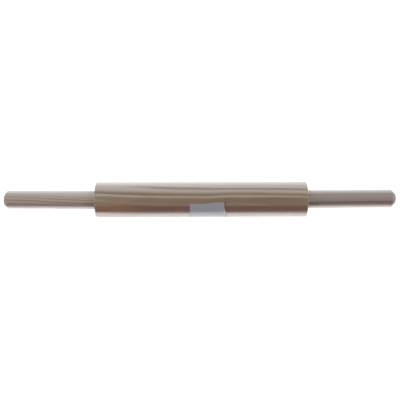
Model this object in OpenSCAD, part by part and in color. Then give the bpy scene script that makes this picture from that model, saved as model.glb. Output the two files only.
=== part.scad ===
// Revolving rolling pin: a straight pine barrel that turns on a steel axle between two dowel handles.
// Millimetres, +Z up. The pin lies along X on the table plane Z = 0, with the middle of its barrel over the origin.
// The hands hold the two handles and the axle still, and the barrel rolls on two bushes around the axle.

/* [Barrel] */
// Diameter of the barrel
barrel_dia = 40; // [34:1:60]
// Length of the barrel between its end faces
barrel_len = 235; // [120:1:350]
// Radius that takes the sharpness off the barrel's two end edges
barrel_edge = 0.8; // [0.3:0.1:2]

/* [Handles] */
// Diameter of both handle dowels
handle_dia = 21; // [19:0.5:28]
// Length of the left handle
handle_left_len = 102; // [70:0.5:140]
// Length of the right handle
handle_right_len = 100; // [70:0.5:140]
// Length along the left handle of the chamfer at its free end
left_chamfer_len = 3.6; // [1:0.1:6]
// Depth into the left handle of the chamfer at its free end
left_chamfer_depth = 3.2; // [1:0.1:5]
// Length along the right handle of the chamfer at its free end
right_chamfer_len = 4.9; // [1:0.1:6]
// Depth into the right handle of the chamfer at its free end
right_chamfer_depth = 4.6; // [1:0.1:5]
// Radius on the edge of each handle next to the barrel
shoulder_edge = 0.3; // [0.1:0.1:1]

/* [Axle] */
// Diameter of the steel rod
axle_dia = 8; // [6:0.5:10]
// Length of the rod held inside each handle
axle_grip = 60; // [30:1:62]
// Chamfer on both ends of the rod
axle_chamfer = 0.8; // [0.2:0.1:1.5]
// Depth of the drill point at the bottom of each handle's bore
drill_point = 2.4; // [1:0.1:4]
// Empty space for glue between the rod's end and the bottom of the bore
glue_well = 2; // [0.5:0.5:4]

/* [Gripping ribs of the axle] */
// Number of ribs round each end of the rod
rib_count = 12; // [6:1:20]
// Height of each rib above the rod, which bites into the wood
rib_height = 0.25; // [0.1:0.05:0.4]
// Width of each rib
rib_width = 0.6; // [0.4:0.1:1]
// Distance from the rod's end to the start of its ribs
rib_setback = 4; // [2:0.5:8]
// Distance from the end of the ribs to the shoulder of the handle that they bite into
rib_margin = 20; // [5:1:21]

/* [Bushes] */
// Wall of the sleeve that is pressed into the barrel
bush_wall = 3; // [1.5:0.1:4]
// Length of the sleeve behind its flange
bush_len = 16; // [8:1:30]
// Width of the flange beyond the sleeve
flange_width = 1.5; // [0.8:0.1:2]
// Thickness of the flange
flange_thick = 2; // [1:0.1:3]
// Height of the flange above the barrel's end face, which keeps the handle off the wood
flange_proud = 0.3; // [0.1:0.05:0.8]
// Chamfer that leads the sleeve into its seat
bush_lead = 0.6; // [0.2:0.1:1]

/* [Fits] */
// Radial running clearance between the rod and the bushes
running_clear = 0.05; // [0.02:0.01:0.09]
// Radial interference that holds each bush in the barrel
press_bite = 0.05; // [0.02:0.01:0.1]
// Radial room round the flange in its recess
flange_clear = 0.2; // [0.1:0.05:0.5]
// Radial room for glue between two surfaces that are stuck together
glue_gap = 0.05; // [0.03:0.01:0.1]
// Radial room round the rod in the middle of the barrel
bore_clear = 1; // [0.5:0.1:2]
// Gap between the left flange and the left handle, which touch when the barrel is pushed over
seat_gap = 0.1; // [0.05:0.05:0.3]
// End play of the barrel between its handles, seen as the wider joint on the right
end_play = 0.6; // [0.2:0.1:1]

/* [Label] */
// Place along the barrel of the blank paper label's left edge, which stands square to the axis
label_left = -12.4; // [-60:0.1:20]
// Width of the label along its top edge
label_top_width = 38.5; // [20:0.5:80]
// Width of the label along its bottom edge, where its right side flares out
label_bottom_width = 44.5; // [20:0.5:80]
// Height of the label's left edge, measured straight across before it curves away
label_left_height = 26.6; // [12:0.2:32]
// Height of the label's right edge, which stands a little higher up the barrel
label_right_height = 27.8; // [12:0.2:32]
// Thickness of the paper
label_thick = 0.15; // [0.1:0.01:0.3]
// Angle of the label's middle above level, on the front of the barrel
label_above = 36; // [0:1:60]

/* [Hidden] */
$fn = 96;
edge_steps = 4;
// Cutting bodies pass this far beyond the faces that they cut
overcut = 1;

barrel_r = barrel_dia / 2;
barrel_end = barrel_len / 2;
handle_r = handle_dia / 2;
axle_r = axle_dia / 2;
bore_r = axle_r + bore_clear;
bush_r = axle_r + running_clear + bush_wall;
flange_r = bush_r + flange_width;
seat_r = bush_r - press_bite;
recess_r = flange_r + flange_clear;
recess_depth = flange_thick - flange_proud;
thrust_face = barrel_end + flange_proud;
left_shoulder = thrust_face + seat_gap;
right_shoulder = thrust_face + seat_gap + end_play;
handle_bore_r = axle_r + glue_gap;
handle_bore_len = axle_grip + glue_well;
rib_len = axle_grip - rib_setback - rib_margin;
label_inner_r = barrel_r + glue_gap;
label_outer_r = label_inner_r + label_thick;

// Turns a body made along Z so that it lies along X, on the pin's own axis
module on_axis() {
    translate([0, 0, barrel_r])
        rotate([0, 90, 0])
            children();
}

// Puts a body made for the right end at the left end
module at_left() {
    mirror([1, 0, 0]) children();
}

// Points of a rounded outer corner, from its side to its end face, for an outline of [radius, height]
function rounded_corner(r, h, edge) = [
    for (i = [0 : edge_steps])
        let (turn = 90 * i / edge_steps)
            [r - edge + edge * cos(turn), h - edge + edge * sin(turn)]
];

// Points of a rounded outer corner, from its bottom face to its side
function rounded_foot(r, h, edge) = [
    for (i = [0 : edge_steps])
        let (turn = 90 * i / edge_steps)
            [r - edge + edge * sin(turn), h + edge - edge * cos(turn)]
];

// Seat of one bush at the top end of the barrel: a recess for the flange and a deeper one for the sleeve
module bush_seat() {
    translate([0, 0, barrel_end - recess_depth])
        cylinder(r = recess_r, h = recess_depth + overcut);
    translate([0, 0, thrust_face - flange_thick - bush_len])
        cylinder(r = seat_r, h = bush_len + overcut);
}

module barrel() {
    color("burlywood")
        on_axis()
            difference() {
                rotate_extrude()
                    polygon(concat(
                        [[0, -barrel_end]],
                        rounded_foot(barrel_r, -barrel_end, barrel_edge),
                        rounded_corner(barrel_r, barrel_end, barrel_edge),
                        [[0, barrel_end]]
                    ));
                cylinder(r = bore_r, h = barrel_len + 2 * overcut, center = true);
                bush_seat();
                mirror([0, 0, 1]) bush_seat();
            }
}

// Ribs at the top end of the rod, raised by the rolling of the steel
module gripping_ribs(rod_end) {
    for (i = [0 : rib_count - 1])
        rotate([0, 0, 360 * i / rib_count])
            translate([0, -rib_width / 2, rod_end - rib_setback - rib_len])
                cube([axle_r + rib_height, rib_width, rib_len]);
}

module axle() {
    left_end = left_shoulder + axle_grip;
    right_end = right_shoulder + axle_grip;
    color("silver")
        on_axis() {
            rotate_extrude()
                polygon([
                    [0, -left_end],
                    [axle_r - axle_chamfer, -left_end],
                    [axle_r, -left_end + axle_chamfer],
                    [axle_r, right_end - axle_chamfer],
                    [axle_r - axle_chamfer, right_end],
                    [0, right_end]
                ]);
            gripping_ribs(right_end);
            mirror([0, 0, 1]) gripping_ribs(left_end);
        }
}

// Flanged sleeve for the right end, with its thrust face outwards
module bush() {
    sleeve_end = thrust_face - flange_thick - bush_len;
    color("whitesmoke")
        on_axis()
            difference() {
                rotate_extrude()
                    polygon([
                        [0, sleeve_end],
                        [bush_r - bush_lead, sleeve_end],
                        [bush_r, sleeve_end + bush_lead],
                        [bush_r, thrust_face - flange_thick],
                        [flange_r, thrust_face - flange_thick],
                        [flange_r, thrust_face],
                        [0, thrust_face]
                    ]);
                translate([0, 0, sleeve_end - overcut])
                    cylinder(r = axle_r + running_clear, h = bush_len + flange_thick + 2 * overcut);
            }
}

module bush_left() {
    at_left() bush();
}

module bush_right() {
    bush();
}

// Dowel handle for the right end: its shoulder faces the barrel and its far end is chamfered
module handle(shoulder, len, chamfer_len, chamfer_depth) {
    color("wheat")
        on_axis()
            translate([0, 0, shoulder])
                difference() {
                    rotate_extrude()
                        polygon(concat(
                            [[0, 0]],
                            rounded_foot(handle_r, 0, shoulder_edge),
                            [
                                [handle_r, len - chamfer_len],
                                [handle_r - chamfer_depth, len],
                                [0, len]
                            ]
                        ));
                    translate([0, 0, -overcut])
                        cylinder(r = handle_bore_r, h = handle_bore_len + overcut);
                    translate([0, 0, handle_bore_len])
                        cylinder(r1 = handle_bore_r, r2 = 0, h = drill_point);
                }
}

module handle_left() {
    at_left() handle(left_shoulder, handle_left_len, left_chamfer_len, left_chamfer_depth);
}

module handle_right() {
    handle(right_shoulder, handle_right_len, right_chamfer_len, right_chamfer_depth);
}

// Sheet of paper over the upper front of the barrel, cut out of a thin tube by a block pushed through that side
module label() {
    label_foot = -label_left_height / 2;
    color("gainsboro")
        intersection() {
            on_axis()
                difference() {
                    cylinder(r = label_outer_r, h = barrel_len, center = true);
                    cylinder(r = label_inner_r, h = barrel_len + 2 * overcut, center = true);
                }
            translate([label_left, 0, barrel_r])
                rotate([90 - label_above, 0, 0])
                    linear_extrude(height = barrel_dia)
                        polygon([
                            [0, label_foot],
                            [label_bottom_width, label_foot],
                            [label_top_width, label_foot + label_right_height],
                            [0, label_foot + label_left_height]
                        ]);
        }
}

barrel();
axle();
bush_left();
bush_right();
handle_left();
handle_right();
label();
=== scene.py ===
# A plain revolving rolling pin of pine, lying on a white table and seen from straight above.
# The barrel and both handles are turned again here with their soft edges, dents and worn corners, and the label
# is a sheet of paper that lifts at one corner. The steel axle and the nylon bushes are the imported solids.
import math
import random

import bmesh
import bpy
from mathutils import Euler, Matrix, Quaternion, Vector, noise


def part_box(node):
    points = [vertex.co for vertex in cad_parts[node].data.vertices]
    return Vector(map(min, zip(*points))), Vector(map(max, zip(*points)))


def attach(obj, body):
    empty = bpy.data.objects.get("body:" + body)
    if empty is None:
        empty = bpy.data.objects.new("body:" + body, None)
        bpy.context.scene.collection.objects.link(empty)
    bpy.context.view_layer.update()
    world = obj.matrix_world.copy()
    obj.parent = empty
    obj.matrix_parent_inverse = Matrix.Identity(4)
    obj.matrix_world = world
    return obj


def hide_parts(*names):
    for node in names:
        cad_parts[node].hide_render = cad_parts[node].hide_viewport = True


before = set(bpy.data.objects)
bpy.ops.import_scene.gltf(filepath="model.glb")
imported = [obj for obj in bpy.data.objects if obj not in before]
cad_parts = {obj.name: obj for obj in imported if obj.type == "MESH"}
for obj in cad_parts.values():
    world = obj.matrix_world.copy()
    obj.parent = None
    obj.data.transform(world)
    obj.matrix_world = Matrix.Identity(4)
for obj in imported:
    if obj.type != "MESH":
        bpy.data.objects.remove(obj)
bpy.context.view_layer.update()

MM = 0.001
TAU = 2 * math.pi

# Turned shapes, in millimetres
BARREL_EDGE = 0.8
BARREL_SEGMENTS = 256
BARREL_BORE = 5.0
BUSH_SEAT = 7.0
BUSH_SEAT_DEPTH = 17.7
FLANGE_RECESS = 8.75
FLANGE_RECESS_DEPTH = 1.7
HANDLE_SEGMENTS = 160
HANDLE_BORE = 4.05
HANDLE_BORE_DEPTH = 62.0
HANDLE_DRILL_POINT = 2.4
SHOULDER_EDGE = 0.5
LEFT_CHAMFER = (3.4, 3.2)
RIGHT_CHAMFER = (4.4, 4.1)
STATION_STEP = 0.9
# How far the left and right end of each handle stand off the pin's axis, towards the rear
LEFT_LEAN = (0.65, -0.2)
RIGHT_LEAN = (-0.07, 0.4)

# Paper label, in millimetres and in degrees above level on the front of the barrel
LABEL_LEFT = -12.9
LABEL_TOP_WIDTH = 37.1
LABEL_BOTTOM_WIDTH = 42.8
LABEL_TOP_ANGLES = (75.4, 80.0)
LABEL_TOP_RISE = (0.38, 0.85)
LABEL_BOTTOM_ANGLE = -5.5
LABEL_GLUE = 0.05
LABEL_THICK = 0.15
LABEL_CORNER_LIFT = 1.1
LABEL_SIDE_LIFT = 0.6

# Camera: straight above the pin, its left end a little nearer, and turned slightly on its own axis
CAMERA_AIM = Vector((-1.45, -0.75, 20.0)) * MM
CAMERA_DISTANCE = 0.7
CAMERA_LENS = 55.94
CAMERA_SENSOR = 36.0
CAMERA_LEAN = math.radians(0.65)
CAMERA_ROLL = math.radians(-0.2)

# Soft dome of light: full strength overhead and behind, almost dark low in front. Only the camera and glass see it
# white, and the varnish mirrors its dark front. The table shines by itself, a little less to the camera
DOME_FULL = 1.0
DOME_FRONT = 0.12
DOME_FRONT_ELEVATION = math.radians(20)
DOME_FADE = (-0.6, 0.75)
TABLE_GLOW = 1.0
TABLE_GLOW_SEEN = 0.8
TABLE_WHITE = 0.8
TABLE_SIZE = 4.0

# Share of a growth ring's colour change that is over where its dark late wood starts
LATE_STARTS = 0.6

# Colours of early and late wood round each piece, in degrees from the top towards the front. The dark stops at about
# 24 to 45 degrees and the pale ones from 50 on stand in for reflections, so they are light painted into the wood
BARREL_EARLY_AND_REFLECTION = (
    (-180, (204, 184, 154)),
    (-100, (198, 182, 160)),
    (-69, (174, 167, 172)),
    (-55, (180, 171, 167)),
    (-46, (177, 166, 150)),
    (-26, (178, 167, 147)),
    (-10, (196, 180, 158)),
    (14, (198, 168, 142)),
    (19, (195, 163, 138)),
    (24, (165, 120, 94)),
    (38, (145, 92, 64)),
    (45.2, (156, 104, 80)),
    (50, (226, 200, 190)),
    (58, (248, 238, 230)),
    (80, (232, 218, 202)),
    (115, (212, 194, 168)),
    (180, (204, 184, 154)),
)
BARREL_LATE_AND_REFLECTION = (
    (-180, (150, 118, 80)),
    (-100, (160, 136, 106)),
    (-69, (152, 144, 148)),
    (-55, (156, 145, 134)),
    (-43, (136, 114, 84)),
    (-35, (128, 98, 58)),
    (-26, (138, 108, 66)),
    (-17, (128, 94, 48)),
    (-3, (152, 114, 78)),
    (3, (172, 135, 102)),
    (12, (186, 152, 126)),
    (18, (184, 150, 126)),
    (24, (162, 114, 88)),
    (38, (142, 88, 60)),
    (45.2, (144, 90, 62)),
    (50, (208, 176, 164)),
    (58, (236, 218, 208)),
    (80, (206, 186, 162)),
    (115, (168, 142, 106)),
    (180, (150, 118, 80)),
)
LEFT_EARLY_AND_REFLECTION = (
    (-180, (208, 190, 166)),
    (-90, (196, 184, 174)),
    (-54, (190, 181, 180)),
    (-40, (179, 171, 162)),
    (-16, (196, 180, 161)),
    (2, (222, 201, 183)),
    (14, (238, 214, 202)),
    (27, (226, 193, 180)),
    (43, (184, 154, 143)),
    (53, (244, 228, 220)),
    (75, (238, 226, 212)),
    (180, (208, 190, 166)),
)
LEFT_LATE_AND_REFLECTION = (
    (-180, (168, 142, 112)),
    (-90, (166, 150, 136)),
    (-54, (162, 152, 150)),
    (-40, (158, 148, 138)),
    (-16, (164, 145, 122)),
    (2, (184, 160, 140)),
    (14, (196, 166, 150)),
    (27, (188, 152, 136)),
    (43, (165, 134, 121)),
    (53, (232, 212, 200)),
    (75, (216, 198, 178)),
    (180, (168, 142, 112)),
)
RIGHT_EARLY_AND_REFLECTION = (
    (-180, (206, 188, 164)),
    (-90, (188, 178, 168)),
    (-60, (176, 168, 168)),
    (-43, (170, 156, 150)),
    (-28, (152, 134, 116)),
    (-20, (158, 140, 124)),
    (-8, (176, 160, 148)),
    (10, (198, 179, 168)),
    (18, (190, 166, 154)),
    (27, (188, 158, 144)),
    (37, (192, 164, 152)),
    (45, (210, 181, 172)),
    (54, (246, 232, 224)),
    (80, (236, 222, 208)),
    (180, (206, 188, 164)),
)
RIGHT_LATE_AND_REFLECTION = (
    (-180, (164, 138, 108)),
    (-90, (160, 144, 132)),
    (-60, (156, 148, 148)),
    (-43, (146, 130, 120)),
    (-31, (122, 98, 76)),
    (-8, (154, 132, 118)),
    (10, (176, 150, 138)),
    (23, (162, 130, 116)),
    (30, (166, 134, 120)),
    (37, (175, 147, 136)),
    (45, (198, 169, 162)),
    (54, (240, 226, 216)),
    (80, (216, 198, 180)),
    (180, (164, 138, 108)),
)
# Early and late wood of the end grain, and the range of the dark colour painted on the handles' rims
END_EARLY = (146, 124, 102)
END_LATE = (108, 84, 64)
RIM_DARK = ((0.35, (62, 50, 44)), (0.65, (96, 80, 70)))


def colour(red, green, blue):
    """A colour written as 0 to 255 on the screen, turned into Blender's linear numbers."""
    def linear(value):
        value /= 255
        return value / 12.92 if value <= 0.04045 else ((value + 0.055) / 1.055) ** 2.4
    return (linear(red), linear(green), linear(blue), 1.0)


def middle(node):
    """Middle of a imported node's box, in metres."""
    low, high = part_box(node)
    return (Vector(low) + Vector(high)) / 2


# Meshes

AXIS = middle("barrel")
BARREL_RADIUS = (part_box("barrel")[1][2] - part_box("barrel")[0][2]) / 2 / MM
BARREL_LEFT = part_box("barrel")[0][0] / MM
BARREL_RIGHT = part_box("barrel")[1][0] / MM
HANDLE_RADIUS = (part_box("handle_left")[1][2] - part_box("handle_left")[0][2]) / 2 / MM


def round_corner(centre, radius, start, end, steps=5):
    """Points of an arc about centre, from the angle start to the angle end in degrees."""
    points = []
    for i in range(steps + 1):
        turn = math.radians(start + (end - start) * i / steps)
        points.append((centre[0] + radius * math.cos(turn), centre[1] + radius * math.sin(turn)))
    return points


def stations(start, end, step):
    """Evenly spaced points of a straight outline from start up to, but without, end."""
    length = math.dist(start, end)
    count = max(1, round(length / step))
    return [tuple(a + (b - a) * i / count for a, b in zip(start, end)) for i in range(count)]


def along(points, step):
    """An open outline through points, with stations on its long straight stretches."""
    line = []
    for start, end in zip(points, points[1:]):
        line += stations(start, end, step)
    return line + [points[-1]]


def lathe(name, outline, segments, wear, closed):
    """Turns an outline of (place along the pin, radius), in millimetres, about the pin's axis.
    wear(x, angle, radius) gives the worn (x, radius). Angle 0 is the top, and 90 degrees is the front."""
    mesh = bpy.data.meshes.new(name)
    shape = bmesh.new()
    rings = []
    for x, radius in outline:
        if radius < 1e-6:
            rings.append([shape.verts.new((x * MM, AXIS.y, AXIS.z))])
            continue
        ring = []
        for i in range(segments):
            angle = TAU * i / segments
            worn_x, worn = wear(x, angle, radius)
            place = (worn_x * MM, AXIS.y - worn * MM * math.sin(angle), AXIS.z + worn * MM * math.cos(angle))
            ring.append(shape.verts.new(place))
        rings.append(ring)
    pairs = list(zip(rings, rings[1:]))
    if closed:
        pairs.append((rings[-1], rings[0]))
    for here, there in pairs:
        for i in range(segments):
            j = (i + 1) % segments
            if len(here) == 1:
                corners = (here[0], there[i], there[j])
            elif len(there) == 1:
                corners = (here[i], there[0], here[j])
            else:
                corners = (here[i], there[i], there[j], here[j])
            shape.faces.new(corners)
    bmesh.ops.recalc_face_normals(shape, faces=shape.faces)
    shape.to_mesh(mesh)
    shape.free()
    mesh.shade_smooth()
    mesh.set_sharp_from_angle(angle=math.radians(38))
    piece = bpy.data.objects.new(name, mesh)
    bpy.context.scene.collection.objects.link(piece)
    return piece


def make_dents(seed, count, start, end):
    """Shallow dents of use, each (x, angle, half length, half width, depth) in millimetres and radians."""
    pick = random.Random(seed)
    dents = []
    for _ in range(count):
        half = pick.uniform(0.5, 1.6)
        dents.append((
            pick.uniform(start, end),
            pick.uniform(0, TAU),
            half * pick.uniform(1.0, 2.4),
            half,
            pick.uniform(0.05, 0.16),
        ))
    return dents


def make_wear(seed, body_radius, dents, edges, edge_depth, ends=(0, 1), lean=(0, 0)):
    """Wear of a turned piece: a slow waviness, fine raised grain, shallow dents and bruised edges.
    edges are the places along the pin of the corners that knock against things, and lean how far the outside stands
    off the pin's axis towards the rear at the left and the right one of its ends."""
    offset = Vector((seed * 17.0, seed * 5.0, 0.0))

    def wear(x, angle, radius):
        if radius < body_radius * 0.45:
            return x, radius
        around = Vector((0.0, math.sin(angle), math.cos(angle)))
        slow = noise.noise(offset + Vector((x * 0.03, 0, 0)) + around * 1.2) * 0.05
        grain = noise.noise(offset + Vector((x * 0.05, 0, 0)) + around * body_radius * 0.9) * 0.018
        sunk = 0.0
        for dent_x, dent_angle, half_length, half_width, depth in dents:
            off = (angle - dent_angle + math.pi) % TAU - math.pi
            reach = ((x - dent_x) / half_length) ** 2 + (off * body_radius / half_width) ** 2
            if reach < 1:
                sunk += depth * (1 - reach) ** 2
        for edge in edges:
            near = max(0.0, 1 - abs(x - edge) / 1.6)
            bruise = noise.noise(offset + around * body_radius * 0.35 + Vector((edge, 0, 0)))
            sunk += edge_depth * near * max(0.0, bruise - 0.12) * 2
        off_axis = lean[0] + (lean[1] - lean[0]) * (x - ends[0]) / (ends[1] - ends[0])
        return x, radius + slow + grain - 0.04 - sunk - off_axis * math.sin(angle)

    return wear


def make_barrel():
    r, edge = BARREL_RADIUS, BARREL_EDGE
    left, right = BARREL_LEFT, BARREL_RIGHT
    outside = round_corner((left + edge, r - edge), edge, 180, 90)
    outside += along([outside[-1], (right - edge, r)], STATION_STEP)[1:-1]
    outside += round_corner((right - edge, r - edge), edge, 90, 0)
    right_face = along([(right, r - edge), (right, FLANGE_RECESS)], 1.6)[1:]
    left_face = along([(left, FLANGE_RECESS), (left, r - edge)], 1.6)[:-1]
    inside = [
        (right - FLANGE_RECESS_DEPTH, FLANGE_RECESS),
        (right - FLANGE_RECESS_DEPTH, BUSH_SEAT),
        (right - BUSH_SEAT_DEPTH, BUSH_SEAT),
        (right - BUSH_SEAT_DEPTH, BARREL_BORE),
        (left + BUSH_SEAT_DEPTH, BARREL_BORE),
        (left + BUSH_SEAT_DEPTH, BUSH_SEAT),
        (left + FLANGE_RECESS_DEPTH, BUSH_SEAT),
        (left + FLANGE_RECESS_DEPTH, FLANGE_RECESS),
    ]
    wear = make_wear(3, r, make_dents(11, 26, left + 4, right - 4), (left + 0.2, right - 0.2), 0.35)
    return lathe("barrel_turned", outside + right_face + inside + left_face, BARREL_SEGMENTS, wear, True)


def make_handle(name, node, side, chamfer, softness, dome, trim, slim, lean, skew, seed):
    """Handle on the left (side -1) or right (side 1) of the barrel, with a chamfer of (length, depth). Its end is
    domed by dome mm, cut out of square by skew mm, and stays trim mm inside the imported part's. slim is how much it
    is slimmer all round at its shoulder and at its end."""
    low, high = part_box(node)
    shoulder = (low[0] if side > 0 else high[0]) / MM
    end = (high[0] if side > 0 else low[0]) / MM - side * trim
    length = abs(end - shoulder) - dome
    r = HANDLE_RADIUS
    run, depth = chamfer
    slope = math.degrees(math.atan2(depth, run))
    outline = [(HANDLE_BORE_DEPTH + HANDLE_DRILL_POINT, 0.0), (HANDLE_BORE_DEPTH, HANDLE_BORE)]
    outline += along([(0.0, HANDLE_BORE), (0.0, r - SHOULDER_EDGE)], 1.5)[:-1]
    outline += round_corner((SHOULDER_EDGE, r - SHOULDER_EDGE), SHOULDER_EDGE, 180, 90, 4)
    blend = softness * math.tan(math.radians(slope / 2))
    body_end = length - run - blend
    outline += along([(SHOULDER_EDGE, r), (body_end, r)], STATION_STEP)[1:-1]
    outline += round_corner((body_end, r - softness), softness, 90, 90 - slope, 6)
    tip = softness * 0.6
    tip_blend = tip * math.tan(math.radians((90 - slope) / 2))
    rim = r - depth
    start = (length - tip_blend * math.cos(math.radians(slope)), rim + tip_blend * math.sin(math.radians(slope)))
    outline += along([outline[-1], start], 0.7)[1:-1]
    outline += round_corner((length - tip, rim - tip_blend), tip, 90 - slope, 0, 6)
    face = along([(length, rim - tip_blend), (length, 0.0)], 0.8)[1:]
    outline += [(x + dome * (1 - (radius / (rim - tip_blend)) ** 2), radius) for x, radius in face]
    outline = [(shoulder + side * x, radius) for x, radius in outline]
    corner = shoulder + side * (length - run)
    dents = make_dents(seed + 40, 9, min(shoulder, corner) + 3, max(shoulder, corner) - 3)
    wear = make_wear(seed, r, dents, (corner, shoulder), 0.3, sorted((shoulder, end)), lean)

    def cut(x, angle, radius):
        x, radius = wear(x, angle, radius)
        near_end = max(0.0, 1 - abs(end - x) / run)
        if radius > r * 0.45:
            radius -= slim[0] + (slim[1] - slim[0]) * abs(x - shoulder) / length
        return x + side * skew * near_end * math.sin(angle) * radius / r, radius

    return lathe(name, outline, HANDLE_SEGMENTS, cut, False)


def make_label():
    """Blank paper sheet on the front of the barrel, unrolled over its left, right, bottom and top edges."""
    columns, rows = 72, 56
    mesh = bpy.data.meshes.new("paper_label")
    shape = bmesh.new()

    def place(u, v, height):
        width = LABEL_BOTTOM_WIDTH + (LABEL_TOP_WIDTH - LABEL_BOTTOM_WIDTH) * v
        x = LABEL_LEFT + width * u
        rise = min(1.0, max(0.0, (u - LABEL_TOP_RISE[0]) / (LABEL_TOP_RISE[1] - LABEL_TOP_RISE[0])))
        rise = rise * rise * (3 - 2 * rise)
        top = LABEL_TOP_ANGLES[0] + (LABEL_TOP_ANGLES[1] - LABEL_TOP_ANGLES[0]) * rise
        angle = math.radians(LABEL_BOTTOM_ANGLE + (top - LABEL_BOTTOM_ANGLE) * v)
        from_corner = max(0.0, 1 - math.hypot((1 - u) * 1.4, (1 - v) * 0.9) / 0.5)
        from_right = max(0.0, 1 - (1 - u) / 0.07)
        ripple = 0.03 * (1 + noise.noise(Vector((u * 9, v * 7, 2.0))))
        lift = LABEL_GLUE + ripple + LABEL_CORNER_LIFT * from_corner ** 2 + LABEL_SIDE_LIFT * from_right ** 2
        radius = BARREL_RADIUS + lift + height
        return (x * MM, AXIS.y - radius * MM * math.cos(angle), AXIS.z + radius * MM * math.sin(angle))

    sides = []
    for height in (0.0, LABEL_THICK):
        sides.append([
            [shape.verts.new(place(i / columns, j / rows, height)) for j in range(rows + 1)]
            for i in range(columns + 1)
        ])
    under, over = sides
    for i in range(columns):
        for j in range(rows):
            shape.faces.new((over[i][j], over[i + 1][j], over[i + 1][j + 1], over[i][j + 1]))
            shape.faces.new((under[i][j], under[i][j + 1], under[i + 1][j + 1], under[i + 1][j]))
    border = [(i, 0) for i in range(columns)] + [(columns, j) for j in range(rows)]
    border += [(i, rows) for i in range(columns, 0, -1)] + [(0, j) for j in range(rows, 0, -1)]
    for (a, b), (c, d) in zip(border, border[1:] + border[:1]):
        shape.faces.new((under[a][b], under[c][d], over[c][d], over[a][b]))
    bmesh.ops.recalc_face_normals(shape, faces=shape.faces)
    shape.to_mesh(mesh)
    shape.free()
    mesh.shade_smooth()
    mesh.set_sharp_from_angle(angle=math.radians(50))
    piece = bpy.data.objects.new("paper_label", mesh)
    bpy.context.scene.collection.objects.link(piece)
    return piece


# Materials

class Nodes:
    """Short names for building a material's nodes and links."""

    def __init__(self, name):
        self.material = bpy.data.materials.new(name)
        self.material.use_nodes = True
        self.tree = self.material.node_tree
        self.shader = self.tree.nodes["Principled BSDF"]

    def add(self, kind, **settings):
        node = self.tree.nodes.new("ShaderNode" + kind)
        for key, value in settings.items():
            setattr(node, key, value)
        return node

    def feed(self, socket, value):
        if isinstance(value, bpy.types.NodeSocket):
            self.tree.links.new(value, socket)
        else:
            socket.default_value = value

    def math(self, operation, *values, clamp=False):
        node = self.add("Math", operation=operation, use_clamp=clamp)
        for socket, value in zip(node.inputs, values):
            self.feed(socket, value)
        return node.outputs[0]

    def vector(self, operation, *values):
        node = self.add("VectorMath", operation=operation)
        for socket, value in zip(node.inputs, values):
            self.feed(socket, value)
        return node.outputs[0]

    def scaled(self, vector, scale):
        return self.vector("MULTIPLY", vector, scale)

    def split(self, vector):
        node = self.add("SeparateXYZ")
        self.feed(node.inputs[0], vector)
        return node.outputs

    def length(self, vector):
        node = self.add("VectorMath", operation="LENGTH")
        self.feed(node.inputs[0], vector)
        return node.outputs["Value"]

    def join(self, *values):
        node = self.add("CombineXYZ")
        for socket, value in zip(node.inputs, values):
            self.feed(socket, value)
        return node.outputs[0]

    def curve(self, value, points, handles):
        """A curve through points, all from 0 to 1: smooth with AUTO handles, straight with VECTOR ones."""
        node = self.add("FloatCurve")
        line = node.mapping.curves[0].points
        while len(line) < len(points):
            line.new(0.5, 0.5)
        for knot, place in zip(line, sorted(points)):
            knot.location = place
            knot.handle_type = handles
        node.mapping.update()
        self.feed(node.inputs["Value"], value)
        return node.outputs[0]

    def trend(self, value, heights):
        """A smooth line through heights at even steps of value from 0 to 1."""
        low, high = min(heights), max(heights)
        if low == high:
            return low
        points = [(i / (len(heights) - 1), (height - low) / (high - low)) for i, height in enumerate(heights)]
        return self.math("ADD", self.math("MULTIPLY", self.curve(value, points, "AUTO"), high - low), low)

    def noise(self, vector, detail=2.0, rough=0.5, warp=0.0):
        node = self.add("TexNoise")
        self.feed(node.inputs["Vector"], vector)
        node.inputs["Scale"].default_value = 1.0
        node.inputs["Detail"].default_value = detail
        node.inputs["Roughness"].default_value = rough
        node.inputs["Distortion"].default_value = warp
        return node.outputs["Fac"]

    def remap(self, value, low, high, to_low=0.0, to_high=1.0, smooth=True):
        node = self.add("MapRange")
        node.interpolation_type = "SMOOTHSTEP" if smooth else "LINEAR"
        self.feed(node.inputs["Value"], value)
        for name, number in zip(("From Min", "From Max", "To Min", "To Max"), (low, high, to_low, to_high)):
            self.feed(node.inputs[name], number)
        return node.outputs["Result"]

    def ramp(self, value, stops):
        node = self.add("ValToRGB")
        elements = node.color_ramp.elements
        while len(elements) < len(stops):
            elements.new(0.5)
        for element, (place, tone) in zip(elements, stops):
            element.position = place
            element.color = colour(*tone)
        self.feed(node.inputs["Fac"], value)
        return node.outputs["Color"]

    def mix(self, factor, first, second, blend="MIX"):
        node = self.add("Mix", data_type="RGBA", blend_type=blend)
        self.feed(node.inputs["Factor"], factor)
        self.feed(node.inputs[6], first)
        self.feed(node.inputs[7], second)
        return node.outputs[2]

    def patch(self, place, centre, size, value):
        """A soft patch with the given value in its middle, and 1 outside it."""
        off = self.vector("DIVIDE", self.vector("SUBTRACT", place, centre), size)
        return self.remap(self.length(off), 0.4, 1.0, value, 1.0)

    def bump(self, height, distance, strength=1.0):
        node = self.add("Bump")
        node.inputs["Strength"].default_value = strength
        node.inputs["Distance"].default_value = distance
        self.feed(node.inputs["Height"], height)
        return node.outputs["Normal"]


def millimetres(n):
    """Object coordinates in millimetres, with the pin's axis moved to height 0."""
    place = n.add("TexCoord").outputs["Object"]
    return n.vector("SUBTRACT", n.scaled(place, (1000, 1000, 1000)), (0, AXIS.y / MM, AXIS.z / MM))


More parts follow.
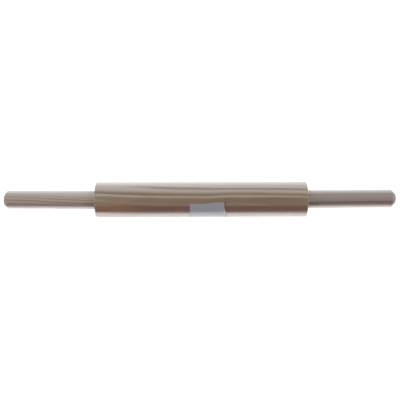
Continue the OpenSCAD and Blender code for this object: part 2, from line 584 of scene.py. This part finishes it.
def make_pine(
    name, node, lean, pith, bark, follow, rings, blend, spacing, taper, early, late, pale, tints_and_shadows, worn, rim_dark, seed,
):
    """Pine sawn from beside the trunk's pith, which runs at pith mm from the piece's axis. The axis leans as in
    make_wear.
    bark lists the direction of the bark side at even steps along the piece, in degrees from the top to the front,
    and follow is the share of its swing that the colours round the piece take part in.
    rings lists the growth rings from the bark inwards, each as its outer radius and its share of dark late wood.
    blend is how gradual the change to late wood is, spacing lists how close the inner rings lie at even steps along
    the piece, and taper is how much nearer to the pith all rings lie at the left end than in the middle, in mm.
    early and late give the colours of the two woods round the piece, in degrees from the top to the front, with
    painted
    reflections in them: a dark band in the upper front and a pale band below it.
    pale is a place and a size, in mm, where the late wood stays faint, the list of tints and shadows gives places,
    sizes and how much lighter the wood is there, and where it is darker this is painted shade, worn how far a face is
    turned to the ends where its varnish starts to go and is gone, and the rim darkening how much darker the rims at
    the left and the right end are painted."""
    n = Nodes(name)
    place = millimetres(n)
    left, right = (corner[0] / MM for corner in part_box(node))
    along_piece = n.remap(n.split(place)[0], left, right, smooth=False)
    place = n.vector("SUBTRACT", place, n.join(0.0, n.remap(along_piece, 0.0, 1.0, *lean, smooth=False), 0.0))
    x, y, z = n.split(place)
    shifted = n.vector("ADD", place, (seed * 31.0, seed * 7.0, seed * 3.0))

    # Distance from the pith, which swerves along the piece
    wander = n.math("SUBTRACT", n.noise(n.scaled(shifted, (0.012, 0.03, 0.03)), 1.0), 0.5)
    ripple = n.math("SUBTRACT", n.noise(n.scaled(shifted, (0.03, 0.2, 0.2)), 2.0), 0.5)
    swing = n.math("MULTIPLY", n.trend(along_piece, bark), math.pi / 180)
    side = n.math("SUBTRACT", y, n.math("MULTIPLY", n.math("SINE", swing), pith))
    up = n.math("ADD", z, n.math("MULTIPLY", n.math("COSINE", swing), pith))
    reach = n.math("SQRT", n.math("ADD", n.math("MULTIPLY", side, side), n.math("MULTIPLY", up, up)))
    reach = n.math("ADD", reach, n.math("MULTIPLY", wander, 0.2))
    reach = n.math("ADD", reach, n.math("MULTIPLY", ripple, 0.12))
    steady = rings[1][0] - rings[1][1] * (rings[1][0] - rings[2][0])
    inside = n.math("MINIMUM", n.math("SUBTRACT", reach, steady), 0.0)
    closer = n.math("SUBTRACT", n.trend(along_piece, spacing), 1.0)
    reach = n.math("ADD", reach, n.math("MULTIPLY", inside, closer))
    reach = n.math("ADD", reach, n.remap(along_piece, 0.0, 1.0, taper, -taper, smooth=False))

    # Ring count from the innermost outwards. The square root keeps the curve fine where the rings lie flat
    outer, inner = rings[0][0], rings[-1][0]
    count = len(rings) - 1
    points = []
    for i, (radius, share) in enumerate(rings[:-1]):
        turn_of_wood = radius - share * (radius - rings[i + 1][0])
        points.append((radius, count - i if i else count - 0.001))
        points.append((turn_of_wood, count - i - 1 + LATE_STARTS))
    points.append((inner, 0))
    points = [(math.sqrt((outer - radius) / (outer - inner)), turn / count) for radius, turn in points]
    depth = n.math("DIVIDE", n.math("SUBTRACT", outer, reach), outer - inner)
    turn = n.math("MULTIPLY", n.curve(n.math("SQRT", n.math("MAXIMUM", depth, 0.0)), points, "VECTOR"), count)
    ring = n.math("FLOOR", turn)
    growth = n.math("FRACT", turn)

    # Fibres, fine pores and thin resin canals all run along the grain
    fibre = n.noise(n.scaled(shifted, (0.03, 1.3, 1.3)), 4.0, 0.6)
    fine = n.noise(n.scaled(shifted, (0.12, 6.0, 6.0)), 3.0, 0.6)
    canal = n.noise(n.scaled(shifted, (0.10, 2.6, 2.6)), 1.0)
    dark = n.remap(growth, LATE_STARTS - blend, LATE_STARTS + blend)
    dark = n.math("ADD", dark, n.math("MULTIPLY", n.math("SUBTRACT", fibre, 0.5), 0.3), clamp=True)
    strength = n.noise(n.join(n.math("MULTIPLY", x, 0.01), n.math("MULTIPLY", ring, 5.3), seed), 1.0)
    dark = n.math("MULTIPLY", dark, n.remap(strength, 0.35, 0.6, 0.85, 1.0))
    dark = n.math("MULTIPLY", dark, n.patch(place, *pale, 0.35))
    around = n.math("ARCTAN2", n.math("MULTIPLY", y, -1.0), z)
    around = n.math("SUBTRACT", around, n.math("MULTIPLY", swing, follow))
    around = n.math("ADD", around, follow * math.radians(sum(bark) / len(bark)))
    around = n.math("ADD", n.math("DIVIDE", around, TAU), n.math("ADD", n.math("MULTIPLY", wander, 0.02), 0.5))
    # Colours of the two woods round the piece, with painted reflections: a dark band in the upper front and a pale
    # band below it
    early_wood_and_reflection = n.ramp(around, [((degrees + 180) / 360, tone) for degrees, tone in early])
    late_wood_and_reflection = n.ramp(around, [((degrees + 180) / 360, tone) for degrees, tone in late])
    wood = n.mix(dark, early_wood_and_reflection, late_wood_and_reflection)
    shade = n.math("ADD", n.remap(fibre, 0.3, 0.7, 0.95, 1.05), n.remap(fine, 0.3, 0.7, -0.05, 0.05))
    # Soft patches, lighter or darker; the darker ones are painted shadow and painted shade
    for spot in tints_and_shadows:
        shade = n.math("MULTIPLY", shade, n.patch(place, *spot))
    wood = n.mix(1.0, wood, shade, "MULTIPLY")
    canals = n.math("MULTIPLY", n.remap(canal, 0.70, 0.78), n.remap(growth, 0.3, 0.8))
    wood = n.mix(n.math("MULTIPLY", canals, 0.35), wood, colour(74, 48, 36))

    # End grain is darker than the sides and its varnish has worn away, and the rims at the ends are painted darker
    # still
    facing = n.math("ABSOLUTE", n.split(n.add("TexCoord").outputs["Normal"])[0])
    end_grain = n.remap(facing, *worn)
    speck = n.noise(n.scaled(shifted, (3.0, 3.0, 3.0)), 3.0, 0.7)
    soaked = n.mix(dark, colour(*END_EARLY), colour(*END_LATE))
    soaked = n.mix(1.0, soaked, n.remap(speck, 0.3, 0.7, 0.8, 1.12), "MULTIPLY")
    wood = n.mix(end_grain, wood, soaked)
    left_rim = n.remap(n.math("SUBTRACT", x, left), 2.2, 1.1, 0.0, rim_dark[0])
    right_rim = n.remap(n.math("SUBTRACT", right, x), 2.5, 1.4, 0.0, rim_dark[1])
    rim = n.math("MULTIPLY", n.math("MAXIMUM", left_rim, right_rim), n.remap(facing, 0.9, 0.98, 1.0, 0.0))
    wood = n.mix(rim, wood, n.ramp(speck, RIM_DARK))
    n.feed(n.shader.inputs["Base Color"], wood)

    rough = n.math("ADD", n.remap(fibre, 0.3, 0.7, 0.40, 0.52), n.math("MULTIPLY", end_grain, 0.2))
    n.feed(n.shader.inputs["Roughness"], n.math("ADD", rough, n.math("MULTIPLY", rim, 0.3), clamp=True))
    relief = n.math("ADD", n.math("MULTIPLY", growth, 0.35), n.math("ADD", fibre, n.math("MULTIPLY", fine, 0.5)))
    n.feed(n.shader.inputs["Normal"], n.bump(relief, 0.00004, 0.5))
    n.feed(n.shader.inputs["Coat Weight"], n.remap(end_grain, 0.0, 0.3, 1.0, 0.0))
    n.shader.inputs["Coat Roughness"].default_value = 0.2
    n.shader.inputs["Coat IOR"].default_value = 1.7
    n.shader.inputs["Sheen Weight"].default_value = 1.0
    n.shader.inputs["Sheen Roughness"].default_value = 0.5
    return n.material


def make_paper():
    n = Nodes("label_paper")
    place = millimetres(n)
    pulp = n.noise(n.scaled(place, (0.9, 0.9, 0.9)), 4.0, 0.6)
    fibre = n.noise(n.scaled(place, (5.0, 5.0, 5.0)), 3.0, 0.65, 0.6)
    tone = n.ramp(pulp, ((0.3, (207, 207, 220)), (0.7, (217, 217, 228))))
    shade = n.remap(fibre, 0.3, 0.7, 0.975, 1.02)
    n.feed(n.shader.inputs["Base Color"], n.mix(1.0, tone, shade, "MULTIPLY"))
    n.feed(n.shader.inputs["Roughness"], n.remap(pulp, 0.3, 0.7, 0.42, 0.55))
    n.feed(n.shader.inputs["Normal"], n.bump(fibre, 0.00002, 0.4))
    n.shader.inputs["Coat Weight"].default_value = 1.0
    n.shader.inputs["Coat Roughness"].default_value = 0.08
    n.shader.inputs["Coat IOR"].default_value = 1.8
    return n.material


def make_steel():
    n = Nodes("drawn_steel")
    place = millimetres(n)
    draw = n.noise(n.scaled(place, (0.05, 5.0, 5.0)), 3.0, 0.6)
    stain = n.noise(n.scaled(place, (0.15, 0.3, 0.3)), 3.0)
    tone = n.ramp(draw, ((0.25, (176, 177, 179)), (0.75, (214, 214, 213))))
    n.feed(n.shader.inputs["Base Color"], n.mix(n.remap(stain, 0.45, 0.75, 0, 0.3), tone, colour(150, 142, 132)))
    n.feed(n.shader.inputs["Roughness"], n.remap(draw, 0.3, 0.7, 0.26, 0.42))
    n.feed(n.shader.inputs["Normal"], n.bump(draw, 0.00001, 0.5))
    n.shader.inputs["Metallic"].default_value = 1.0
    return n.material


def make_nylon():
    n = Nodes("natural_nylon")
    place = millimetres(n)
    turned = n.noise(n.scaled(place, (6.0, 0.2, 0.2)), 2.0)
    cloud = n.noise(n.scaled(place, (0.4, 0.4, 0.4)), 2.0)
    n.feed(n.shader.inputs["Base Color"], n.ramp(cloud, ((0.3, (216, 211, 197)), (0.7, (228, 225, 214)))))
    n.feed(n.shader.inputs["Roughness"], n.remap(turned, 0.3, 0.7, 0.38, 0.5))
    n.feed(n.shader.inputs["Normal"], n.bump(turned, 0.00002, 0.4))
    n.shader.inputs["Subsurface Weight"].default_value = 0.15
    n.shader.inputs["Subsurface Radius"].default_value = (0.002, 0.0018, 0.0015)
    n.shader.inputs["Subsurface Scale"].default_value = 0.5
    return n.material


def dress(piece, material):
    """Gives a piece one material all over."""
    piece.data.materials.clear()
    piece.data.materials.append(material)


# Stage: a softly lit white table and a dome of studio light

def make_table():
    mesh = bpy.data.meshes.new("table")
    s = TABLE_SIZE
    mesh.from_pydata([(-s, -s, 0), (s, -s, 0), (s, s, 0), (-s, s, 0)], [], [(0, 1, 2, 3)])
    table = bpy.data.objects.new("table", mesh)
    bpy.context.scene.collection.objects.link(table)
    n = Nodes("table_white")
    n.shader.inputs["Base Color"].default_value = (TABLE_WHITE, TABLE_WHITE, TABLE_WHITE, 1)
    n.shader.inputs["Roughness"].default_value = 1.0
    n.shader.inputs["Specular IOR Level"].default_value = 0.0
    n.shader.inputs["Emission Color"].default_value = (1, 1, 1, 1)
    seen = n.add("LightPath").outputs["Is Camera Ray"]
    n.feed(n.shader.inputs["Emission Strength"], n.remap(seen, 0.0, 1.0, TABLE_GLOW, TABLE_GLOW_SEEN, smooth=False))
    dress(table, n.material)


def make_dome():
    world = bpy.data.worlds.new("studio")
    bpy.context.scene.world = world
    world.use_nodes = True
    tree = world.node_tree
    tree.nodes.clear()
    add, link = tree.nodes.new, tree.links.new
    place = add("ShaderNodeTexCoord")
    front = add("ShaderNodeVectorMath")
    front.operation = "DOT_PRODUCT"
    front.inputs[1].default_value = (0, -math.cos(DOME_FRONT_ELEVATION), math.sin(DOME_FRONT_ELEVATION))
    link(place.outputs["Generated"], front.inputs[0])
    fade = add("ShaderNodeMapRange")
    fade.interpolation_type = "SMOOTHSTEP"
    settings = zip(("From Min", "From Max", "To Min", "To Max"), (*DOME_FADE, DOME_FULL, DOME_FRONT))
    for name, number in settings:
        fade.inputs[name].default_value = number
    link(front.outputs["Value"], fade.inputs["Value"])
    light = add("ShaderNodeBackground")
    link(fade.outputs["Result"], light.inputs["Strength"])
    white = add("ShaderNodeBackground")
    ray = add("ShaderNodeLightPath")
    seen = add("ShaderNodeMath")
    seen.operation = "MAXIMUM"
    link(ray.outputs["Is Camera Ray"], seen.inputs[0])
    link(ray.outputs["Is Transmission Ray"], seen.inputs[1])
    pick = add("ShaderNodeMixShader")
    link(seen.outputs[0], pick.inputs["Fac"])
    link(light.outputs[0], pick.inputs[1])
    link(white.outputs[0], pick.inputs[2])
    white.inputs["Color"].default_value = (1, 1, 1, 1)
    light.inputs["Color"].default_value = (1, 1, 1, 1)
    link(pick.outputs[0], add("ShaderNodeOutputWorld").inputs["Surface"])


def make_camera():
    data = bpy.data.cameras.new("camera")
    data.lens = CAMERA_LENS
    data.sensor_width = CAMERA_SENSOR
    camera = bpy.data.objects.new("camera", data)
    bpy.context.scene.collection.objects.link(camera)
    lean = Euler((0, -CAMERA_LEAN, 0)).to_quaternion()
    camera.location = CAMERA_AIM + lean @ Vector((0, 0, CAMERA_DISTANCE))
    camera.rotation_euler = (lean @ Quaternion((0, 0, 1), CAMERA_ROLL)).to_euler()
    bpy.context.scene.camera = camera


# The pin

barrel = make_barrel()
dress(barrel, make_pine(
    "pine_barrel", "barrel", (0.0, 0.0),
    pith=40.0,
    bark=(-5.9, 0.7, 4.7, 5.8, 3.7, 6.6, 10.3),
    follow=0.4,
    rings=(
        (60.02, 0.46), (59.44, 0.39), (56.95, 0.38), (52.7, 0.34), (50.2, 0.28), (48.1, 0.32), (45.6, 0.36),
        (43.4, 0.28), (41.4, 0.34), (38.6, 0.30), (36.2, 0.36), (34.1, 0.30), (31.4, 0.34), (29.2, 0.28),
        (26.4, 0.34), (23.6, 0.30), (20.0, 0.30),
    ),
    blend=0.25,
    spacing=(0.9, 0.72, 0.95, 1.12, 1.46, 1.3, 1.19),
    taper=-0.15,
    early=BARREL_EARLY_AND_REFLECTION,
    late=BARREL_LATE_AND_REFLECTION,
    pale=((-117.0, 14.0, 14.0), (70.0, 8.0, 8.0)),
    # The first patch makes the barrel's left front lighter; the second is a painted shadow beside the label's lifted
    # corner
    tints_and_shadows=(((-117.0, -11.0, 17.0), (64.0, 9.0, 9.0), 1.5), ((26.4, -4.5, 19.5), (1.8, 3.4, 3.4), 0.65)),
    worn=(0.7, 0.95),
    rim_dark=(0.0, 0.0),
    seed=2,
))
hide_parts("barrel")
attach(barrel, "roller")

handle_left = make_handle(
    "handle_left_turned", "handle_left", -1, LEFT_CHAMFER,
    softness=1.6, dome=0.3, trim=0.0, slim=(0.0, 0.15), lean=LEFT_LEAN, skew=0.6, seed=5,
)
dress(handle_left, make_pine(
    "pine_handle_left", "handle_left", LEFT_LEAN,
    pith=36.8,
    bark=(-78.0, -76.0, -69.0, -62.0, -57.0),
    follow=0.0,
    rings=(
        (48.4, 0.3), (44.9, 0.3), (43.1, 0.3), (40.2, 0.3), (36.5, 0.3), (33.2, 0.3), (30.6, 0.3), (27.8, 0.3),
        (25.6, 0.3), (22.0, 0.3),
    ),
    blend=0.25,
    spacing=(1.0,),
    taper=0.0,
    early=LEFT_EARLY_AND_REFLECTION,
    late=LEFT_LATE_AND_REFLECTION,
    pale=((-170.0, 9.0, 0.0), (30.0, 4.0, 8.0)),
    # Painted shade on the handle's root next to the barrel
    tints_and_shadows=(((-124.0, -5.0, 9.0), (12.0, 4.0, 4.0), 0.82),),
    worn=(0.3, 0.9),
    rim_dark=(0.9, 0.0),
    seed=5,
))
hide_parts("handle_left")
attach(handle_left, "handles")

handle_right = make_handle(
    "handle_right_turned", "handle_right", 1, RIGHT_CHAMFER,
    softness=0.7, dome=0.2, trim=0.5, slim=(0.13, 0.2), lean=RIGHT_LEAN, skew=0.0, seed=9,
)
dress(handle_right, make_pine(
    "pine_handle_right", "handle_right", RIGHT_LEAN,
    pith=30.0,
    bark=(67.0, 64.0, 61.0, 62.0, 65.0),
    follow=0.0,
    rings=(
        (43.0, 0.2), (39.3, 0.2), (31.7, 0.35), (29.0, 0.3), (26.8, 0.3), (24.0, 0.3), (21.8, 0.3), (19.0, 0.3),
        (16.0, 0.3),
    ),
    blend=0.1,
    spacing=(1.0,),
    taper=0.0,
    early=RIGHT_EARLY_AND_REFLECTION,
    late=RIGHT_LATE_AND_REFLECTION,
    pale=((150.0, 9.0, 0.0), (30.0, 4.0, 8.0)),
    # Painted shade on the handle's root next to the barrel
    tints_and_shadows=(((124.0, -7.0, 8.0), (12.0, 4.0, 4.0), 0.75),),
    worn=(0.3, 0.9),
    rim_dark=(0.0, 0.9),
    seed=8,
))
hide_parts("handle_right")
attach(handle_right, "handles")

label = make_label()
dress(label, make_paper())
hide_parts("label")
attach(label, "roller")

dress(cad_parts["axle"], make_steel())
nylon = make_nylon()
for bush in ("bush_left", "bush_right"):
    dress(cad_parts[bush], nylon)

make_table()
make_dome()
make_camera()
bpy.context.scene.view_settings.view_transform = "Standard"
